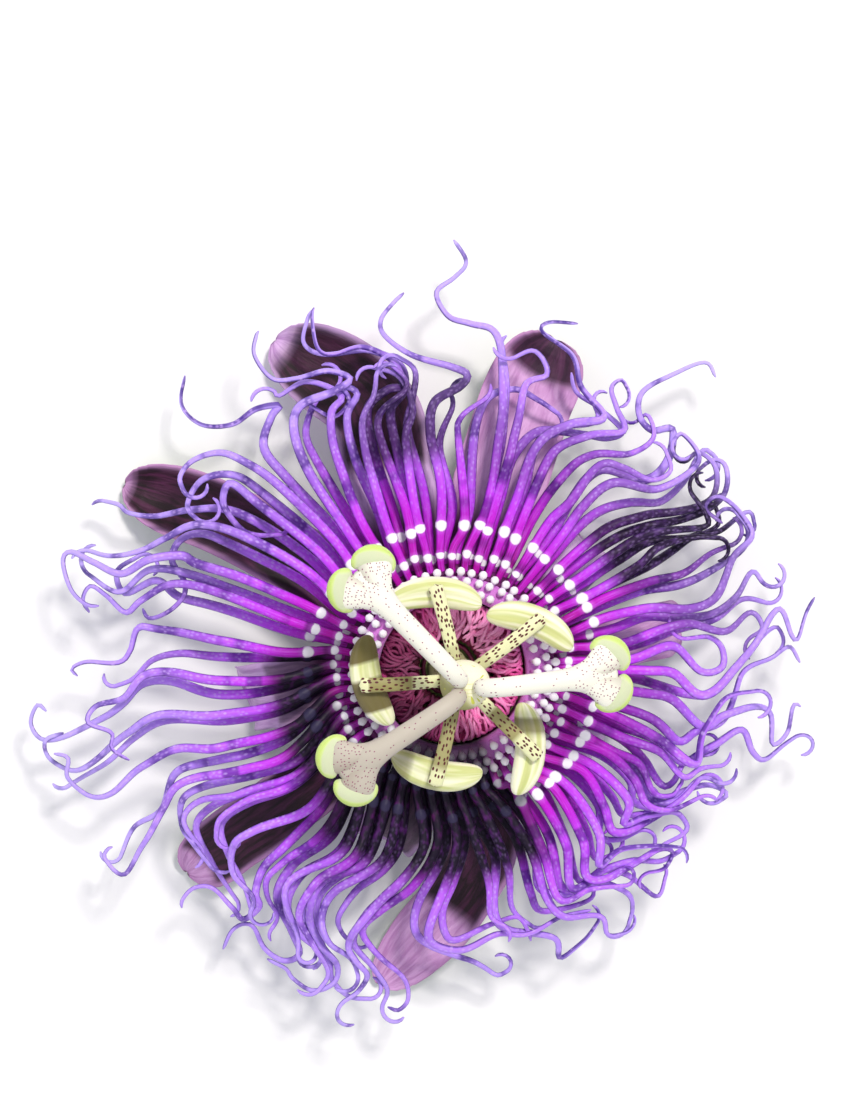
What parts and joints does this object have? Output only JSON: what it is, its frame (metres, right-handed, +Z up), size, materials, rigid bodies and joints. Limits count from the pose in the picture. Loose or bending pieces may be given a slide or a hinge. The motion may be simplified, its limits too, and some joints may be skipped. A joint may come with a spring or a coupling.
{
  "type": "passion flower",
  "caption": "Purple passion flower, as picked with a short cut stalk, lying face up: reflexed sepals and petals under a crimped filament corona, with stamens and styles on a column.",
  "frame": {"origin": "middle of the flower's outline seen from above, on the surface it lies on", "axes": "+Z up along the flower's axis, out of its face; +Y towards the longest single filament at the top of the face"},
  "size_m": [0.102, 0.1013, 0.0375],
  "materials": {
    "stalk": "matte, finely ribbed green plant tissue",
    "receptacle": "matte green plant tissue",
    "bract": "satin green leaf tissue",
    "sepal": "satin petal tissue, lilac inside with dark maroon depths, green outside",
    "petal": "satin petal tissue, pale lilac pink",
    "corona_long": "waxy satin filaments, magenta at the root, violet and lilac outwards, with white bands",
    "corona_short": "waxy filaments, purple with white club tips",
    "inner_fringe": "velvety pink fringe",
    "nectary": "moist dark maroon tissue",
    "column": "waxy pale yellow green, speckled maroon",
    "anther": "matte pale yellow green pollen sacs",
    "style": "waxy ivory, speckled pink maroon",
    "stigma": "soft matte pale green with a yellow green rim"
  },
  "bodies": {
    "root": {"pedicel": "stalk", "bract_1": "bract", "bract_2": "bract", "bract_3": "bract", "receptacle": "receptacle", "sepal_right": "sepal", "sepal_top": "sepal", "sepal_upper_left": "sepal", "sepal_lower_left": "sepal", "sepal_bottom": "sepal", "petal_upper_right": "petal", "petal_top_left": "petal", "petal_left": "petal", "petal_lower": "petal", "petal_lower_right": "petal", "corona_upper_lock_01": "corona_long", "corona_upper_lock_02": "corona_long", "corona_upper_lock_03": "corona_long", "corona_upper_lock_04": "corona_long", "corona_upper_lock_05": "corona_long", "corona_upper_lock_06": "corona_long", "corona_upper_lock_07": "corona_long", "corona_upper_lock_08": "corona_long", "corona_upper_lock_09": "corona_long", "corona_upper_lock_10": "corona_long", "corona_lower_lock_01": "corona_long", "corona_lower_lock_02": "corona_long", "corona_lower_lock_03": "corona_long", "corona_lower_lock_04": "corona_long", "corona_lower_lock_05": "corona_long", "corona_lower_lock_06": "corona_long", "corona_lower_lock_07": "corona_long", "corona_lower_lock_08": "corona_long", "corona_lower_lock_09": "corona_long", "corona_lower_lock_10": "corona_long", "corona_short_filaments": "corona_short", "corona_inner_fringe": "inner_fringe", "operculum": "nectary", "limen": "nectary", "androgynophore": "column", "stamen_filament_1": "column", "stamen_filament_2": "column", "stamen_filament_3": "column", "stamen_filament_4": "column", "stamen_filament_5": "column", "anther_1": "anther", "anther_2": "anther", "anther_3": "anther", "anther_4": "anther", "anther_5": "anther", "ovary": "column", "style_1": "style", "style_2": "style", "style_3": "style", "stigma_1": "stigma", "stigma_2": "stigma", "stigma_3": "stigma"}
  },
  "joints": []
}
